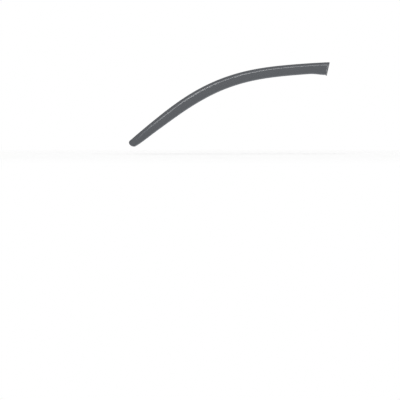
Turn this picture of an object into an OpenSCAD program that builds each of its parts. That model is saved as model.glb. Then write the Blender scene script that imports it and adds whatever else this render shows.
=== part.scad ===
// Window rain deflector for the front door of an estate car.
// One moulded sheet of smoked acrylic: a thin flange pushes up into the window channel,
// a riser steps the sheet out past the door frame, and a crowned blade hangs in front of
// the top of the glass. The rear end is closed and raked, the front end tapers to a nose.
// X runs to the rear of the car, Y into the car, Z up. The origin is the flange root at
// the middle of the run.

/* [Window line] */
// Length of the run in front of the middle, measured along the flange root
front_run = 430; // [360:5:460]
// Length of the run behind the middle, measured along the flange root
rear_run = 440; // [360:5:460]
// Slope of the run at the middle, down towards the bonnet
mid_slope = 22; // [14:0.5:28]
// Turn between the roof stretch and the windscreen pillar stretch
pillar_turn = 24.4; // [8:0.2:28]
// Length over which that turn is spread
turn_len = 560; // [400:10:800]
// Radius of the gentle arch that the whole run has besides
arch_r = 3400; // [2500:50:9000]

/* [Door glass] */
// Lean of the glass towards the roof at the middle
glass_lean = 26; // [12:0.5:32]
// Radius of the bulge of the glass from sill to roof
sill_to_roof_r = 2000; // [1400:50:6000]
// Angle at which the glass closes in towards the bonnet at the middle
glass_toe_in = 4.6; // [1:0.2:8]
// Radius of the bulge of the glass from bonnet to tail
bonnet_to_tail_r = 5500; // [3500:100:12000]

/* [Sheet] */
// Thickness of the moulded sheet
sheet_t = 3; // [2.4:0.1:3.4]

/* [Flange] */
// Height of the flange that goes up into the channel
flange_h = 10; // [8:0.5:14]
// Height of the bevel on the glass side, which leads flange and glass in
bevel_h = 5; // [3:0.5:6]
// Thickness left at the edge of the flange
flange_edge_t = 1.4; // [1:0.1:2]

/* [Riser and blade] */
// Distance from the glass to the outer face of the blade
standoff = 14; // [12:0.5:20]
// Angle between the riser and the glass
riser_angle = 75; // [60:1:82]
// Outer radius of the bend between flange and riser
root_r = 3; // [1.5:0.5:4]
// Outer radius of the bend between riser and blade
shoulder_r = 7; // [5:0.5:9]
// Width of the sheet from flange root to lower edge
blade_w = 43.8; // [38:0.2:60]
// Radius of the crown across the blade
crown_r = 350; // [250:10:900]

/* [Rear end] */
// Rake of the rear end against the run, its top to the rear
rear_rake = 15.4; // [0:0.2:20]
// Length over which the rake fades out
rake_len = 120; // [100:5:200]
// Extra width of the blade at the rear end
rear_flare = 7.7; // [0:0.1:12]
// Length over which that width is gained
flare_len = 78; // [50:1:150]
// Radius by which the blade rolls in to the closed rear end
rear_roll_r = 9; // [6:0.5:12]
// Corner radius of flange and blade at the rear end
rear_corner_r = 4; // [2:0.5:6]

/* [Front end] */
// Length over which the blade narrows
taper_len = 390; // [200:10:420]
// Width of the sheet from flange root to lower edge at the nose
nose_w = 16; // [12:0.5:24]
// Length over which the blade sinks to the glass
sink_len = 120; // [90:5:200]
// Length of the rounding of the nose
nose_len = 11; // [8:0.5:16]

/* [Fineness] */
// Spacing of the sections along the run
section_step = 12; // [6:1:20]
// Sections along each rounded end
end_sections = 10; // [6:1:14]
// Steps across the blade
blade_steps = 6; // [3:1:10]
// Steps round each bend
bend_steps = 5; // [3:1:8]
// Steps round the lower edge
lip_steps = 6; // [4:2:10]

/* [Hidden] */
shell_colour = "#5f6167";
// Spacing of the points that the window line is summed from
line_step = 2;
// Share of its width that the nose keeps at its very end
nose_flat = 0.15;
// Length of the last stretch before each end, where sections are close together
rear_zone = rear_roll_r + rear_corner_r;
front_zone = nose_len;

// Eased step from 0 to 1, level at both ends
function ease(v) = let (c = min(max(v, 0), 1)) c * c * (3 - 2 * c);

// Rise of a quarter circle: 0 at the end, 1 at a distance r from it
function roll(d, r) = d >= r ? 1 : let (g = (r - max(d, 0)) / r) sqrt(1 - g * g);

// Slope of the run at a length u behind the middle
function run_slope(u) =
    mid_slope - (u / arch_r) * 180 / PI - pillar_turn * (ease(u / turn_len + 0.5) - 0.5);

// Window line in side view as [u, x, z], summed step by step away from the middle
function summed(way, run) = [
    for (i = 0, u = 0, x = 0, z = 0; u <= run + line_step;
         a = run_slope(way * (u + line_step / 2)),
         x = x + way * line_step * cos(a),
         z = z + way * line_step * sin(a),
         i = i + 1, u = i * line_step)
    [way * u, x, z]
];
front_line = summed(-1, front_run);
rear_line = summed(1, rear_run);
window_line = concat([for (i = [len(front_line) - 1:-1:1]) front_line[i]], rear_line);
line_x = [for (p = window_line) [p[0], p[1]]];
line_z = [for (p = window_line) [p[0], p[2]]];

// The door glass bulges both ways: its two angles at a place in side view
function lean_at(z) = asin(sin(glass_lean) + z / sill_to_roof_r);
function toe_at(x) = asin(sin(glass_toe_in) - x / bonnet_to_tail_r);
function glass_y(x, z) =
    sill_to_roof_r * (cos(glass_lean) - cos(lean_at(z)))
    + bonnet_to_tail_r * (cos(glass_toe_in) - cos(toe_at(x)));

function unit(v) = v / norm(v);

// Frame on the glass at u: place, direction of the run, direction out of the car and
// direction down the glass, square to the run
function glass_frame(u) =
    let (x = lookup(u, line_x), z = lookup(u, line_z), a = run_slope(u),
         lean = tan(lean_at(z)), toe = tan(toe_at(x)),
         along = unit([cos(a), lean * sin(a) - toe * cos(a), sin(a)]),
         out = unit([-toe, -1, lean]))
    [[x, glass_y(x, z), z], along, out, cross(along, out)];

// Width of the blade: flared at the rear, narrowed along a quarter ellipse at the front
function blade_w_at(u) =
    let (behind = rear_run - u, ahead = u + front_run,
         flared = blade_w + rear_flare * ease(1 - behind / flare_len),
         narrowed = nose_w + (blade_w - nose_w) * roll(ahead, taper_len))
    (ahead < taper_len ? narrowed : flared)
    - rear_corner_r * (1 - roll(behind, rear_corner_r));

// Height of the flange, with its rear corner rounded
function flange_h_at(u) = flange_h - rear_corner_r * (1 - roll(rear_run - u, rear_corner_r));

// Share of the standoff that the outer and the inner face have
function outer_share(u) = roll(rear_run - u, rear_roll_r) * ease((u + front_run) / sink_len);
function inner_share(u) =
    let (behind = rear_run - u - sheet_t)
    (behind <= 0 ? 0 : roll(behind, rear_roll_r - sheet_t)) * ease((u + front_run) / sink_len);

// One face of the sheet from the root bend to the lower edge, as [down, out] points.
// The outer face has level sheet_t on the flange and the inner face level 0, and both
// bend about the same two centres.
root_to_shoulder = let (rise = standoff - sheet_t - (root_r + shoulder_r) * (1 - cos(riser_angle)))
    (root_r + shoulder_r) * sin(riser_angle) + rise / tan(riser_angle);
function face(width, root, shoulder, share, level) = [
    for (i = [0:bend_steps]) let (a = riser_angle * i / bend_steps)
        [root * sin(a), level + share * (sheet_t + root_r - root * cos(a) - level)],
    for (i = [0:bend_steps]) let (a = riser_angle * (1 - i / bend_steps))
        [root_to_shoulder - shoulder * sin(a),
         level + share * (standoff - shoulder_r + shoulder * cos(a) - level)],
    for (i = [1:blade_steps])
        let (reach = (width - sheet_t / 2 - root_to_shoulder) * i / blade_steps)
        [root_to_shoulder + reach,
         level + share * (standoff - shoulder_r + shoulder
                          - reach * reach / (2 * crown_r) - level)]
];

// Closed section at u: up over the outer face from the flange edge, round the lower
// edge and back over the inner face
function section(u) =
    let (width = blade_w_at(u), edge = -flange_h_at(u), edge_r = flange_edge_t / 2,
         outer = face(width, root_r, shoulder_r, outer_share(u), sheet_t),
         inner = face(width, root_r + sheet_t, shoulder_r - sheet_t, inner_share(u), 0),
         last = len(outer) - 1,
         lip_mid = (outer[last][1] + inner[last][1]) / 2,
         lip_half = (outer[last][1] - inner[last][1]) / 2,
         tip = outer[last][0])
    concat(
        [[edge, sheet_t - edge_r], [edge + edge_r, sheet_t], [edge + bevel_h, sheet_t]],
        outer,
        [for (i = [1:lip_steps - 1]) let (a = 180 * i / lip_steps)
            [tip + sheet_t / 2 * sin(a), lip_mid + lip_half * cos(a)]],
        [for (i = [last:-1:0]) inner[i]],
        [[edge + bevel_h, 0], [edge + edge_r, sheet_t - flange_edge_t]]
    );

// Places of the sections along the run, closer together in the rounded ends
function end_places(end, way, zone) = [
    for (i = [0:end_sections]) end + way * zone * (1 - cos(90 * i / end_sections))
];
body_steps = ceil((front_run + rear_run - front_zone - rear_zone) / section_step);
body_len = (front_run + rear_run - front_zone - rear_zone) / body_steps;
rear_places = end_places(rear_run, -1, rear_zone);
places = concat(
    end_places(-front_run, 1, front_zone),
    [for (i = [1:body_steps - 1]) -front_run + front_zone + i * body_len],
    [for (i = [end_sections:-1:0]) rear_places[i]]
);

// The section at u set on the glass: raked near the rear end, drawn together in the nose
function placed(u) =
    let (f = glass_frame(u),
         rake = tan(rear_rake) * ease(1 - (rear_run - u) / rake_len),
         mid = (nose_w - flange_h) / 2,
         draw = max(roll(u + front_run, nose_len), nose_flat))
    [for (p = section(u))
        let (down = mid + (p[0] - mid) * draw)
        f[0] + down * (f[3] - rake * f[1]) + p[1] * f[2]];

rings = [for (u = places) placed(u)];
ring_n = len(rings[0]);

// Quads between neighbouring sections, then each end closed by quads across the sheet
function skin(n_rings, n) = [
    for (r = [0:n_rings - 2], i = [0:n - 1])
        let (j = (i + 1) % n, a = r * n, b = a + n)
        each [[a + i, b + j, a + j], [a + i, b + i, b + j]]
];
function cap(start, n, flip) = [
    for (i = [0:n / 2 - 1])
        let (near = i == 0 ? [start, start + 1, start + n - 1]
                  : i == n / 2 - 1 ? [start + i, start + i + 1, start + n - i]
                  : [start + i, start + i + 1, start + n - i - 1, start + n - i])
        flip ? [for (k = [len(near) - 1:-1:0]) near[k]] : near
];

module deflector_shell() {
    color(shell_colour)
    polyhedron(
        points = [for (ring = rings) each ring],
        faces = concat(
            skin(len(rings), ring_n),
            cap(0, ring_n, false),
            cap((len(rings) - 1) * ring_n, ring_n, true)
        ),
        convexity = 6
    );
}

deflector_shell();
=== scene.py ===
"""Window rain deflector of smoked acrylic, dressed for the studio.

The deflector is one moulded sheet: a flange that pushes up into the window channel, a riser
that steps out past the door frame, and a crowned blade in front of the top of the glass.
X runs to the rear of the car, Y into the car and Z up. Everything built here is in metres;
the sizes of the part are written in millimetres, as they are in the model it stands for.
"""

import logging
import math
from dataclasses import dataclass, field
from enum import Enum

import bpy
import numpy as np
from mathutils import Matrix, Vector


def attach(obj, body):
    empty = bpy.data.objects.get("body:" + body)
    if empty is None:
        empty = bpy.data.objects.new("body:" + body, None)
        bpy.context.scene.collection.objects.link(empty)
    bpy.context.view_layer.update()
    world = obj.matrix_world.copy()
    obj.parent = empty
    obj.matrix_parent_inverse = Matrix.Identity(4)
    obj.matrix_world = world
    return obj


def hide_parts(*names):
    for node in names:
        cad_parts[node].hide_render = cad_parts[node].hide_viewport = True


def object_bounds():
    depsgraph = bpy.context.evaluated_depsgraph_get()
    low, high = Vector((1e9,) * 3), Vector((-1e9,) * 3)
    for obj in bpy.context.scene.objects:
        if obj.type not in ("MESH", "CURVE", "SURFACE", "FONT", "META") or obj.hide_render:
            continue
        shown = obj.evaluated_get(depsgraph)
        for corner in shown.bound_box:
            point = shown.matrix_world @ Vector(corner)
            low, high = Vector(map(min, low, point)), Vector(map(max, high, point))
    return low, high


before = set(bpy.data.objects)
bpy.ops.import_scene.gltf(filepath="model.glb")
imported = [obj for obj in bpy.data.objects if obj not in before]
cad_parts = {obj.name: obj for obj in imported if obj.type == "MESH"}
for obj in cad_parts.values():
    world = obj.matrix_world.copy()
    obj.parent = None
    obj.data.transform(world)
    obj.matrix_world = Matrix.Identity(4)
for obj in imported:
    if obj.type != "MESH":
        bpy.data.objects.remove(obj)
CAD_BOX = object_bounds()

LOG = logging.getLogger("deflector")
MM = 0.001


def linear_colour(hex_code: str, alpha: float = 1.0) -> tuple[float, float, float, float]:
    """Turns an sRGB hex colour into the linear colour that a shader socket takes.

    Args:
        hex_code: colour as "#rrggbb".
        alpha: fourth value of the result.

    Returns:
        Linear red, green and blue, and alpha.
    """
    digits = hex_code.lstrip("#")
    channels = [int(digits[i:i + 2], 16) / 255 for i in (0, 2, 4)]
    red, green, blue = (c / 12.92 if c <= 0.04045 else ((c + 0.055) / 1.055) ** 2.4
                        for c in channels)
    return red, green, blue, alpha


def ease(v: np.ndarray) -> np.ndarray:
    """Eased step from 0 to 1 over v = 0 to 1, level at both ends: 3 v squared - 2 v cubed."""
    c = np.clip(v, 0.0, 1.0)
    return c * c * (3 - 2 * c)


def roll(distance: np.ndarray, radius: float) -> np.ndarray:
    """Rise of a quarter circle: 0 at distance 0, 1 from distance = radius on."""
    gap = np.clip((radius - np.maximum(distance, 0.0)) / radius, 0.0, 1.0)
    return np.sqrt(1 - gap * gap)


def unit(v: np.ndarray) -> np.ndarray:
    """Vectors along the last axis of v, each scaled to length 1."""
    return v / np.linalg.norm(v, axis=-1, keepdims=True)


def look_along(direction: np.ndarray) -> tuple[float, float, float]:
    """Euler angles that point an object's -Z along a direction, its X kept level.

    Args:
        direction: vector to look along.

    Returns:
        Rotations about X, Y and Z in radians.
    """
    x, y, z = unit(np.asarray(direction, dtype=float))
    return math.pi / 2 + math.asin(z), 0.0, math.atan2(-x, y)


def add_node(tree: bpy.types.NodeTree, kind: str, inputs: dict | None = None,
             **settings: object) -> bpy.types.Node:
    """Adds a node, sets its properties, and fills or links its input sockets.

    Args:
        tree: node tree that takes the node.
        kind: type name of the node.
        inputs: value or output socket for each named input socket.
        **settings: properties of the node itself.

    Returns:
        The new node.
    """
    node = tree.nodes.new(kind)
    for name, value in settings.items():
        setattr(node, name, value)
    for name, value in (inputs or {}).items():
        socket = next(s for s in node.inputs if s.name == name and s.enabled)
        if isinstance(value, bpy.types.NodeSocket):
            tree.links.new(value, socket)
        else:
            socket.default_value = value
    return node


@dataclass(frozen=True)
class GlassFrame:
    """Frames on the door glass, one row for each place along the run."""

    place: np.ndarray
    along: np.ndarray
    out: np.ndarray
    down: np.ndarray


@dataclass
class WindowLine:
    """The flange's root line, as it lies on the door glass. Sizes in mm, angles in degrees."""

    front_run: float = 430.0
    rear_run: float = 440.0
    mid_slope: float = 22.0
    pillar_turn: float = 24.4
    turn_len: float = 560.0
    arch_r: float = 3400.0
    glass_lean: float = 26.0
    sill_to_roof_r: float = 2000.0
    glass_toe_in: float = 4.6
    bonnet_to_tail_r: float = 5500.0
    # Spacing of the points that the line is summed from, and how many of them lie past each end
    line_step: float = 1.0
    spare_steps: int = 2

    def slope(self, u: np.ndarray) -> np.ndarray:
        """Slope in degrees at u: the middle's slope, less the arch's turn, less the pillar's.

        Args:
            u: distance behind the middle along the line.

        Returns:
            Angles to the horizontal, positive where the line rises to the rear.
        """
        pillar = self.pillar_turn * (ease(u / self.turn_len + 0.5) - 0.5)
        return self.mid_slope - np.degrees(u / self.arch_r) - pillar

    def side_view(self, u: np.ndarray) -> tuple[np.ndarray, np.ndarray]:
        """Places in side view: cos and sin of the slope summed along the line from u = 0.

        Args:
            u: distances behind the middle along the line.

        Returns:
            x and z of each.
        """
        spare = self.spare_steps * self.line_step
        knots = np.arange(-self.front_run - spare,
                          self.rear_run + spare + self.line_step / 2, self.line_step)
        middles = (knots[1:] + knots[:-1]) / 2
        angle = np.radians(self.slope(middles))
        x = np.concatenate([[0.0], np.cumsum(np.cos(angle) * self.line_step)])
        z = np.concatenate([[0.0], np.cumsum(np.sin(angle) * self.line_step)])
        x -= np.interp(0.0, knots, x)
        z -= np.interp(0.0, knots, z)
        return np.interp(u, knots, x), np.interp(u, knots, z)

    def frames(self, u: np.ndarray) -> GlassFrame:
        """Frames on the glass, a surface that bulges from sill to roof and bonnet to tail.

        The sine of its lean grows with z over the one radius and the sine of its toe-in
        falls with x over the other. Its depth y is the sum of the two circles' cosines.

        Args:
            u: distances behind the middle along the line.

        Returns:
            Place, direction of the run, direction out of the car, and down the glass.
        """
        x, z = self.side_view(u)
        mid_lean, mid_toe = math.radians(self.glass_lean), math.radians(self.glass_toe_in)
        lean = np.arcsin(math.sin(mid_lean) + z / self.sill_to_roof_r)
        toe = np.arcsin(math.sin(mid_toe) - x / self.bonnet_to_tail_r)
        y = (self.sill_to_roof_r * (math.cos(mid_lean) - np.cos(lean))
             + self.bonnet_to_tail_r * (math.cos(mid_toe) - np.cos(toe)))
        angle = np.radians(self.slope(u))
        rise = np.tan(lean) * np.sin(angle) - np.tan(toe) * np.cos(angle)
        along = unit(np.stack([np.cos(angle), rise, np.sin(angle)], axis=-1))
        out = unit(np.stack([-np.tan(toe), -np.ones_like(x), np.tan(lean)], axis=-1))
        return GlassFrame(np.stack([x, y, z], axis=-1), along, out, np.cross(along, out))


@dataclass
class SheetSection:
    """Section of the moulded sheet and how it changes along the run. Sizes in mm."""

    line: WindowLine = field(default_factory=WindowLine)
    sheet_t: float = 3.0
    flange_h: float = 10.0
    bevel_h: float = 5.0
    flange_edge_t: float = 1.4
    standoff: float = 14.0
    riser_angle: float = 75.0
    root_r: float = 3.0
    shoulder_r: float = 7.0
    blade_w: float = 43.8
    crown_r: float = 350.0
    rear_rake: float = 15.4
    rake_len: float = 120.0
    rear_flare: float = 7.7
    flare_len: float = 78.0
    rear_roll_r: float = 9.0
    rear_corner_r: float = 4.0
    taper_len: float = 390.0
    nose_w: float = 16.0
    sink_len: float = 120.0
    nose_len: float = 11.0
    nose_flat: float = 0.15
    bend_steps: int = 10
    blade_steps: int = 22
    lip_points: int = 9
    # Points of the flange edge before the outer face and after the inner face
    edge_points: tuple[int, int] = (3, 2)

    def behind(self, u: np.ndarray) -> np.ndarray:
        """Distance from u back to the rear end."""
        return self.line.rear_run - u

    def ahead(self, u: np.ndarray) -> np.ndarray:
        """Distance from u forward to the nose."""
        return self.line.front_run + u

    def blade_width(self, u: np.ndarray) -> np.ndarray:
        """Width from flange root to lower edge: an eased flare behind, a quarter ellipse ahead."""
        flared = self.blade_w + self.rear_flare * ease(1 - self.behind(u) / self.flare_len)
        narrowed = self.nose_w + (self.blade_w - self.nose_w) * roll(self.ahead(u), self.taper_len)
        corner = self.rear_corner_r * (1 - roll(self.behind(u), self.rear_corner_r))
        return np.where(self.ahead(u) < self.taper_len, narrowed, flared) - corner

    def flange_height(self, u: np.ndarray) -> np.ndarray:
        """Height of the flange, less the rounding of its rear corner."""
        return self.flange_h - self.rear_corner_r * (1 - roll(self.behind(u), self.rear_corner_r))

    def outer_share(self, u: np.ndarray) -> np.ndarray:
        """Share of the standoff that the outer face keeps: rolled in behind, sunk ahead."""
        return roll(self.behind(u), self.rear_roll_r) * ease(self.ahead(u) / self.sink_len)

    def inner_share(self, u: np.ndarray) -> np.ndarray:
        """The same for the inner face, whose roll starts one sheet further in."""
        behind = self.behind(u) - self.sheet_t
        rolled = np.where(behind > 0, roll(behind, self.rear_roll_r - self.sheet_t), 0.0)
        return rolled * ease(self.ahead(u) / self.sink_len)

    def face(self, width: np.ndarray, root: float, shoulder: float, share: np.ndarray,
             level: float) -> tuple[np.ndarray, np.ndarray]:
        """One face of the sheet: root bend, shoulder bend, and the blade as a shallow arc.

        The bends are arcs about the two centres that both faces share. Past the shoulder
        the face falls off by reach squared over twice the crown's radius. The share moves
        the whole face between the level of the flange and its full standoff.

        Args:
            width: blade width at each place.
            root: radius of this face's root bend.
            shoulder: radius of this face's shoulder bend.
            share: share of the standoff at each place.
            level: height of this face on the flange.

        Returns:
            Distances down and out, each as an array of places by points.
        """
        turn = math.radians(self.riser_angle)
        rise = self.standoff - self.sheet_t - (self.root_r + self.shoulder_r) * (1 - math.cos(turn))
        across = (self.root_r + self.shoulder_r) * math.sin(turn) + rise / math.tan(turn)
        angle = turn * np.linspace(0, 1, self.bend_steps + 1)
        ones = np.ones((len(width), 1))
        root_down = ones * root * np.sin(angle)
        root_out = ones * (self.sheet_t + self.root_r - root * np.cos(angle))
        bend_down = ones * (across - shoulder * np.sin(angle[::-1]))
        bend_out = ones * (self.standoff - self.shoulder_r + shoulder * np.cos(angle[::-1]))
        steps = np.linspace(0, 1, self.blade_steps + 1)[1:]
        reach = (width[:, None] - self.sheet_t / 2 - across) * steps
        blade_out = self.standoff - self.shoulder_r + shoulder - reach ** 2 / (2 * self.crown_r)
        down = np.concatenate([root_down, bend_down, across + reach], axis=1)
        out = np.concatenate([root_out, bend_out, blade_out], axis=1)
        return down, level + share[:, None] * (out - level)

    def loops(self, u: np.ndarray) -> tuple[np.ndarray, np.ndarray]:
        """Closed sections: flange edge, outer face, half-round lower lip, inner face back.

        Args:
            u: places along the run.

        Returns:
            Distances down and out, each as an array of places by points.
        """
        width = self.blade_width(u)
        edge = -self.flange_height(u)[:, None]
        zeros = np.zeros_like(edge)
        edge_r = self.flange_edge_t / 2
        outer_down, outer_out = self.face(
            width, self.root_r, self.shoulder_r, self.outer_share(u), self.sheet_t)
        inner_down, inner_out = self.face(
            width, self.root_r + self.sheet_t, self.shoulder_r - self.sheet_t,
            self.inner_share(u), 0.0)
        middle = (outer_out[:, -1:] + inner_out[:, -1:]) / 2
        half = (outer_out[:, -1:] - inner_out[:, -1:]) / 2
        angle = np.linspace(0, math.pi, self.lip_points + 2)[1:-1]
        lip_down = outer_down[:, -1:] + self.sheet_t / 2 * np.sin(angle)
        lip_out = middle + half * np.cos(angle)
        down = np.concatenate(
            [edge, edge + edge_r, edge + self.bevel_h, outer_down, lip_down,
             inner_down[:, ::-1], edge + self.bevel_h, edge + edge_r], axis=1)
        out = np.concatenate(
            [zeros + self.sheet_t - edge_r, zeros + self.sheet_t, zeros + self.sheet_t,
             outer_out, lip_out, inner_out[:, ::-1], zeros,
             zeros + self.sheet_t - self.flange_edge_t], axis=1)
        return down, out

    def bend_highlight_profile(self) -> np.ndarray:
        """How much painted highlight each point of a section takes across the shoulder bend.

        It is the square of a half sine over the bend's steps, on both faces, and 0
        elsewhere. The points come in the order that the loops have.

        Returns:
            One value for each point of a section, 1 in the middle of the bend.
        """
        steps = np.linspace(0, 1, self.bend_steps + 1)
        root, blade = np.zeros(self.bend_steps + 1), np.zeros(self.blade_steps)
        face = np.concatenate([root, np.sin(math.pi * steps) ** 2, blade])
        before, after = (np.zeros(n) for n in self.edge_points)
        return np.concatenate([before, face, np.zeros(self.lip_points), face[::-1], after])

    def surface(self, u: np.ndarray) -> np.ndarray:
        """Sets the sections on the glass, raked at the rear and drawn together in the nose.

        A point is the line's place, plus its distance down along the glass and its
        distance out square to the glass. The rake shears it back along the run.

        Args:
            u: places along the run.

        Returns:
            Points in mm, as an array of places by points by three.
        """
        down, out = self.loops(u)
        on_glass = self.line.frames(u)
        rake = math.tan(math.radians(self.rear_rake)) * ease(1 - self.behind(u) / self.rake_len)
        middle = (self.nose_w - self.flange_h) / 2
        draw = np.maximum(roll(self.ahead(u), self.nose_len), self.nose_flat)
        down = middle + (down - middle) * draw[:, None]
        raked = on_glass.down - rake[:, None] * on_glass.along
        return (on_glass.place[:, None, :] + down[:, :, None] * raked[:, None, :]
                + out[:, :, None] * on_glass.out[:, None, :])


@dataclass(frozen=True)
class SmokedAcrylic:
    """Cast acrylic sheet with a smoke dye, thermoformed over a mould and flame polished.

    The dye makes it nearly black and lets little light through, so much of the grey that
    the eye sees is the gloss mirroring pale surroundings. Forming leaves long shallow waves
    in the gloss, and handling leaves faint wipe marks along the run. The shoulder bend has a
    painted highlight, a paler colour that stands in for the lamps mirrored in the bend. The
    lower lip and rear end have painted light, a paler colour for the glow of the cut edges.
    """

    smoke: str = "#3b3f45"
    thin_smoke: str = "#404449"
    # Painted light: paler colour of the lower lip and rear end, for the glow of the cut edges
    edge: str = "#666a70"
    # Painted highlight: paler colour of the shoulder bend, for the lamps mirrored in it
    bend_highlight_colour: str = "#666a70"
    ior: float = 1.49
    transmission: float = 0.2
    # Roughness of the bare gloss and of the strongest wipe marks
    gloss_low: float = 0.05
    gloss_high: float = 0.12
    dye_cloud_mm: float = 90.0
    forming_wave_mm: float = 45.0
    wave_depth_mm: float = 0.12
    # Real wipe marks are about 0.05 mm apart, too fine to show, so they are drawn 3 mm apart
    wipe_mark_mm: float = 3.0
    wipe_mark_len_mm: float = 160.0
    # Range of the noise over which the gloss goes from low to high
    faint_mark: float = 0.35
    strong_mark: float = 0.75

    def material(self) -> bpy.types.Material:
        """Builds the node material.

        Returns:
            The material, ready for a piece that has a "Run" map and the two point values that
            mask the painted bend highlight and the painted edge light.
        """
        made = bpy.data.materials.new("smoked_acrylic_formed")
        made.use_nodes = True
        tree = made.node_tree
        tree.nodes.clear()
        output = add_node(tree, "ShaderNodeOutputMaterial")
        shader = add_node(tree, "ShaderNodeBsdfPrincipled", {
            "IOR": self.ior, "Transmission Weight": self.transmission, "Metallic": 0.0})
        tree.links.new(shader.outputs["BSDF"], output.inputs["Surface"])
        place = add_node(tree, "ShaderNodeTexCoord").outputs["Object"]

        cloud = add_node(tree, "ShaderNodeTexNoise", {
            "Vector": place, "Scale": 1 / (self.dye_cloud_mm * MM), "Detail": 2.0})
        tint = add_node(tree, "ShaderNodeMix", {
            "Factor": cloud.outputs["Fac"], "A": linear_colour(self.smoke),
            "B": linear_colour(self.thin_smoke)}, data_type="RGBA")
        # Painted highlight: the shoulder bend is made paler, standing in for the lamps mirrored in
        # it
        bend = add_node(tree, "ShaderNodeAttribute", attribute_name="painted_bend_highlight")
        with_bend_highlight = add_node(tree, "ShaderNodeMix", {
            "Factor": bend.outputs["Fac"], "A": tint.outputs["Result"],
            "B": linear_colour(self.bend_highlight_colour)}, data_type="RGBA")
        # Painted light: the lower lip and rear end are made paler, standing in for the glow of the
        # cut edges
        edge = add_node(tree, "ShaderNodeAttribute", attribute_name="painted_edge_light")
        colour = add_node(tree, "ShaderNodeMix", {
            "Factor": edge.outputs["Fac"], "A": with_bend_highlight.outputs["Result"],
            "B": linear_colour(self.edge)}, data_type="RGBA")
        tree.links.new(colour.outputs["Result"], shader.inputs["Base Color"])

        run_map = add_node(tree, "ShaderNodeUVMap", uv_map="Run").outputs["UV"]
        stretched = add_node(tree, "ShaderNodeMapping", {
            "Vector": run_map,
            "Scale": (1 / (self.wipe_mark_len_mm * MM), 1 / (self.wipe_mark_mm * MM), 1.0)})
        marks = add_node(tree, "ShaderNodeTexNoise", {
            "Vector": stretched.outputs["Vector"], "Scale": 1.0, "Detail": 3.0})
        gloss = add_node(tree, "ShaderNodeMapRange", {
            "Value": marks.outputs["Fac"], "From Min": self.faint_mark,
            "From Max": self.strong_mark, "To Min": self.gloss_low,
            "To Max": self.gloss_high})
        tree.links.new(gloss.outputs["Result"], shader.inputs["Roughness"])

        waves = add_node(tree, "ShaderNodeTexNoise", {
            "Vector": place, "Scale": 1 / (self.forming_wave_mm * MM), "Detail": 0.0})
        bump = add_node(tree, "ShaderNodeBump", {
            "Height": waves.outputs["Fac"], "Strength": 1.0,
            "Distance": self.wave_depth_mm * MM})
        tree.links.new(bump.outputs["Normal"], shader.inputs["Normal"])
        return made


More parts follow.
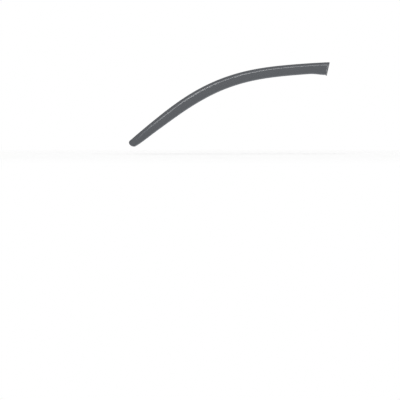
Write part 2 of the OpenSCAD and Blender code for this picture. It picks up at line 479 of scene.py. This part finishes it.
@dataclass
class DeflectorShell:
    """The moulded shell as one closed surface, finer than the solid that it stands for."""

    section: SheetSection = field(default_factory=SheetSection)
    finish: SmokedAcrylic = field(default_factory=SmokedAcrylic)
    piece_name: str = "deflector_shell_formed"
    node_name: str = "deflector_shell"
    slot_name: str = "smoked_acrylic"
    body_name: str = "root"
    run_places: int = 420
    end_places: int = 40
    crease_degrees: float = 30.0
    edge_fade_mm: float = 2.5

    def places(self) -> np.ndarray:
        """Places of the sections: even along the run, closing up as a cosine at each end."""
        line, section = self.section.line, self.section
        rear_zone = section.rear_roll_r + section.rear_corner_r
        front_zone = section.nose_len
        closing = 1 - np.cos(np.linspace(0, math.pi / 2, self.end_places + 1))
        nose = -line.front_run + front_zone * closing
        rear = line.rear_run - rear_zone * closing[::-1]
        middle = np.linspace(nose[-1], rear[0], self.run_places + 1)[1:-1]
        return np.concatenate([nose, middle, rear])

    def faces(self, rings: int, points: int) -> tuple[np.ndarray, np.ndarray]:
        """Quads between neighbouring sections, and the strips that close both ends.

        An end strip joins each point of the outer face to the point facing it on the
        inner face: point i to point -i, counted round from the flange edge.

        Args:
            rings: number of sections.
            points: number of points in a section, an even number.

        Returns:
            The quads, and the triangles at the two turns of each end strip.
        """
        ring = np.arange(rings - 1)[:, None] * points
        here = np.arange(points)
        after = (here + 1) % points
        sides = np.stack([ring + here, ring + after,
                          ring + points + after, ring + points + here], axis=-1).reshape(-1, 4)
        i = np.arange(1, points // 2 - 1)
        strip = np.stack([points - i, points - i - 1, i + 1, i], axis=-1)
        turns = np.array([[points - 1, 1, 0],
                          [points // 2 + 1, points // 2, points // 2 - 1]])
        last = (rings - 1) * points
        quads = np.concatenate([sides, strip, strip[:, ::-1] + last])
        return quads, np.concatenate([turns, turns[:, ::-1] + last])

    def run_map(self, surface: np.ndarray) -> np.ndarray:
        """Distance along the run and round the section of every point, in metres.

        Args:
            surface: points in metres, as places by points by three.

        Returns:
            Array of places by points + 1 by two, its last column closing the section.
        """
        around = np.concatenate([surface, surface[:, :1]], axis=1)
        steps = np.linalg.norm(np.diff(around, axis=1), axis=-1)
        across = np.concatenate([np.zeros((len(steps), 1)), np.cumsum(steps, axis=1)], axis=1)
        along = np.repeat(self.places()[:, None] * MM, across.shape[1], axis=1)
        return np.stack([along, across], axis=-1)

    def painted_edge_light(self, u: np.ndarray) -> np.ndarray:
        """How much painted edge light each point takes: 1 on lower lip and rear end, else 0.

        Args:
            u: places along the run.

        Returns:
            Array of places by points, fading over a set distance from the edges.
        """
        down, _ = self.section.loops(u)
        from_lip = self.section.blade_width(u)[:, None] - self.section.sheet_t / 2 - down
        nearest = np.minimum(from_lip, self.section.behind(u)[:, None])
        return 1 - ease(nearest / self.edge_fade_mm)

    def painted_bend_highlight(self, u: np.ndarray) -> np.ndarray:
        """How much painted highlight the shoulder bend takes: less where the sheet lies closer to
        the glass.

        Args:
            u: places along the run.

        Returns:
            Array of places by points, 1 in the middle of the bend at full standoff.
        """
        return self.section.outer_share(u)[:, None] * self.section.bend_highlight_profile()

    def mesh(self) -> bpy.types.Mesh:
        """Makes the closed mesh with its run map, its painted-light masks for bend and edge, and
        creases.

        Returns:
            The mesh, in metres.
        """
        u = self.places()
        surface = self.section.surface(u) * MM
        rings, points = surface.shape[:2]
        quads, triangles = self.faces(rings, points)
        corners = np.concatenate([quads.ravel(), triangles.ravel()]).astype(np.int32)
        counts = np.concatenate([np.full(len(quads), 4), np.full(len(triangles), 3)])
        starts = np.concatenate([[0], np.cumsum(counts)[:-1]]).astype(np.int32)

        made = bpy.data.meshes.new(self.piece_name)
        made.vertices.add(rings * points)
        made.vertices.foreach_set("co", surface.ravel())
        made.loops.add(len(corners))
        made.loops.foreach_set("vertex_index", corners)
        made.polygons.add(len(counts))
        made.polygons.foreach_set("loop_start", starts)
        made.update(calc_edges=True)

        flat_map = self.run_map(surface)
        row, column = corners // points, corners % points
        side_corners = 4 * (rings - 1) * points
        closing = np.zeros(len(corners), dtype=bool)
        closing[:side_corners] = (np.arange(side_corners) // 4 % points == points - 1)
        column = np.where(closing & (column == 0), points, column)
        made.uv_layers.new(name="Run").data.foreach_set("uv", flat_map[row, column].ravel())
        # Masks of the painted edge light and the painted bend highlight
        for name, value in (("painted_edge_light", self.painted_edge_light(u)),
                            ("painted_bend_highlight", self.painted_bend_highlight(u))):
            made.attributes.new(name, "FLOAT", "POINT").data.foreach_set("value", value.ravel())
        made.validate()
        made.shade_smooth()
        made.set_sharp_from_angle(angle=math.radians(self.crease_degrees))
        return made

    def build(self) -> bpy.types.Object:
        """Makes the piece, dresses it and sets it on its body in place of the solid.

        Returns:
            The finished object.
        """
        piece = bpy.data.objects.new(self.piece_name, self.mesh())
        bpy.context.scene.collection.objects.link(piece)
        piece.data.materials.append(self.finish.material())
        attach(piece, self.body_name)
        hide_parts(self.node_name)
        return piece


class LampSide(Enum):
    """Side that a soft lamp shines from, as a direction away from the part.

    The three overhead lamps stand in a row, each where one stretch of the shoulder bend
    mirrors it towards the side view. The whole blade mirrors the lamp in front of it.
    """

    OVER_NOSE = (-0.40, -0.22, 0.89)
    OVER_MIDDLE = (-0.23, -0.15, 0.96)
    OVER_REAR = (-0.05, -0.08, 1.0)
    REAR = (1.0, -0.3, 0.55)
    BLADE = (-0.12, -0.75, 0.65)


@dataclass(frozen=True)
class SoftLamp:
    """A broad lamp a long way off, so that it lights part and floor evenly."""

    side: LampSide
    level: float
    spread_degrees: float

    def build(self) -> bpy.types.Object:
        """Hangs the lamp. Its level is the brightness that it gives a white surface facing it.

        Returns:
            The lamp's object.
        """
        lamp = bpy.data.lights.new(f"soft_lamp_{self.side.name.lower()}", "SUN")
        lamp.angle = math.radians(self.spread_degrees)
        lamp.energy = self.level * math.pi
        hung = bpy.data.objects.new(lamp.name, lamp)
        bpy.context.scene.collection.objects.link(hung)
        away = unit(np.array(self.side.value))
        hung.location = away
        hung.rotation_euler = look_along(-away)
        return hung


@dataclass
class Studio:
    """White surroundings, a pale floor that takes the shadow, soft lamps and the camera."""

    white: str = "#ffffff"
    floor_colour: str = "#e4e4e4"
    floor_gap_m: float = 0.03
    floor_half_m: float = 14.0
    shadow_reach_m: float = 0.9
    fade_reach_m: float = 2.4
    fill_light: float = 0.48
    camera_distance_m: float = 7.0
    camera_x_m: float = -0.0762
    camera_z_m: float = -0.1957
    camera_pitch: float = -2.19
    mm_per_pixel: float = 3.931
    frame_pixels: int = 400
    sensor_mm: float = 36.0
    view_depth_m: float = 100.0
    lamps: tuple[SoftLamp, ...] = (
        SoftLamp(LampSide.OVER_NOSE, 0.19, 22.0),
        SoftLamp(LampSide.OVER_MIDDLE, 0.16, 22.0),
        SoftLamp(LampSide.OVER_REAR, 0.19, 22.0),
        SoftLamp(LampSide.REAR, 0.28, 26.0),
        SoftLamp(LampSide.BLADE, 0.21, 66.0),
    )

    def seen_white(self, tree: bpy.types.NodeTree) -> bpy.types.NodeSocket:
        """Is 1 for rays that see or mirror the surroundings, and 0 for rays that light.

        Args:
            tree: node tree that takes the nodes.

        Returns:
            Socket with the largest of the camera, glossy and transmission ray flags.
        """
        rays = add_node(tree, "ShaderNodeLightPath")
        seen = add_node(tree, "ShaderNodeMath", operation="MAXIMUM")
        tree.links.new(rays.outputs["Is Camera Ray"], seen.inputs[0])
        tree.links.new(rays.outputs["Is Glossy Ray"], seen.inputs[1])
        widest = add_node(tree, "ShaderNodeMath", operation="MAXIMUM")
        tree.links.new(seen.outputs["Value"], widest.inputs[0])
        tree.links.new(rays.outputs["Is Transmission Ray"], widest.inputs[1])
        return widest.outputs["Value"]

    def build_world(self) -> bpy.types.World:
        """Makes surroundings that look white and light the part at the fill level."""
        world = bpy.data.worlds.new("white_studio")
        world.use_nodes = True
        tree = world.node_tree
        tree.nodes.clear()
        output = add_node(tree, "ShaderNodeOutputWorld")
        strength = add_node(tree, "ShaderNodeMapRange", {
            "Value": self.seen_white(tree), "To Min": self.fill_light, "To Max": 1.0})
        sky = add_node(tree, "ShaderNodeBackground", {
            "Color": linear_colour(self.white), "Strength": strength.outputs["Result"]})
        tree.links.new(sky.outputs["Background"], output.inputs["Surface"])
        bpy.context.scene.world = world
        return world

    def build_floor(self, lowest_z: float) -> bpy.types.Object:
        """Lays a pale floor that fades into the white surroundings away from the part.

        Args:
            lowest_z: height of the part's lowest point, in metres.

        Returns:
            The floor's object.
        """
        size, height = self.floor_half_m, lowest_z - self.floor_gap_m
        corners = [(-size, -size, height), (size, -size, height),
                   (size, size, height), (-size, size, height)]
        made = bpy.data.meshes.new("studio_floor")
        made.from_pydata(corners, [], [(0, 1, 2, 3)])
        floor = bpy.data.objects.new("studio_floor", made)
        bpy.context.scene.collection.objects.link(floor)

        paint = bpy.data.materials.new("pale_floor_paint")
        paint.use_nodes = True
        tree = paint.node_tree
        tree.nodes.clear()
        output = add_node(tree, "ShaderNodeOutputMaterial")
        place = add_node(tree, "ShaderNodeTexCoord").outputs["Object"]
        distance = add_node(tree, "ShaderNodeVectorMath", {"Vector": place}, operation="LENGTH")
        fade = add_node(tree, "ShaderNodeMapRange", {
            "Value": distance.outputs["Value"], "From Min": self.shadow_reach_m,
            "From Max": self.fade_reach_m}, interpolation_type="SMOOTHSTEP")
        amount = add_node(tree, "ShaderNodeMath", operation="MULTIPLY")
        tree.links.new(fade.outputs["Result"], amount.inputs[0])
        tree.links.new(self.seen_white(tree), amount.inputs[1])
        matt = add_node(tree, "ShaderNodeBsdfDiffuse", {"Color": linear_colour(self.floor_colour)})
        glow = add_node(tree, "ShaderNodeEmission", {"Color": linear_colour(self.white)})
        blend = add_node(tree, "ShaderNodeMixShader")
        tree.links.new(amount.outputs["Value"], blend.inputs[0])
        tree.links.new(matt.outputs["BSDF"], blend.inputs[1])
        tree.links.new(glow.outputs["Emission"], blend.inputs[2])
        tree.links.new(blend.outputs["Shader"], output.inputs["Surface"])
        made.materials.append(paint)
        return floor

    def build_camera(self) -> bpy.types.Object:
        """Sets up the long-lens side view that gives the photograph's framing.

        The lens is the sensor's width times the distance over the width in view.

        Returns:
            The camera's object, made the scene's camera.
        """
        lens = bpy.data.cameras.new("side_view")
        in_view_m = self.mm_per_pixel * MM * self.frame_pixels
        lens.sensor_width = self.sensor_mm
        lens.lens = self.sensor_mm * self.camera_distance_m / in_view_m
        lens.clip_end = self.view_depth_m
        camera = bpy.data.objects.new("side_view", lens)
        bpy.context.scene.collection.objects.link(camera)
        camera.location = (self.camera_x_m, -self.camera_distance_m, self.camera_z_m)
        camera.rotation_euler = (math.radians(90 + self.camera_pitch), 0.0, 0.0)
        bpy.context.scene.camera = camera
        return camera

    def build(self, box: tuple[Vector, Vector]) -> None:
        """Builds surroundings, floor, lamps and camera round the part's box.

        Args:
            box: lowest and highest corner of the part, in metres.
        """
        self.build_world()
        self.build_floor(float(box[0][2]))
        for lamp in self.lamps:
            lamp.build()
        self.build_camera()
        bpy.context.scene.view_settings.view_transform = "Standard"


def main() -> None:
    """Builds the studio and the shell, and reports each."""
    logging.basicConfig(level=logging.INFO, format="%(name)s: %(message)s")
    Studio().build(CAD_BOX)
    LOG.info("studio ready: floor, lamps and camera")
    shell = DeflectorShell().build()
    LOG.info("%s: %d points, %d faces", shell.name, len(shell.data.vertices),
             len(shell.data.polygons))


if __name__ == "__main__":
    main()
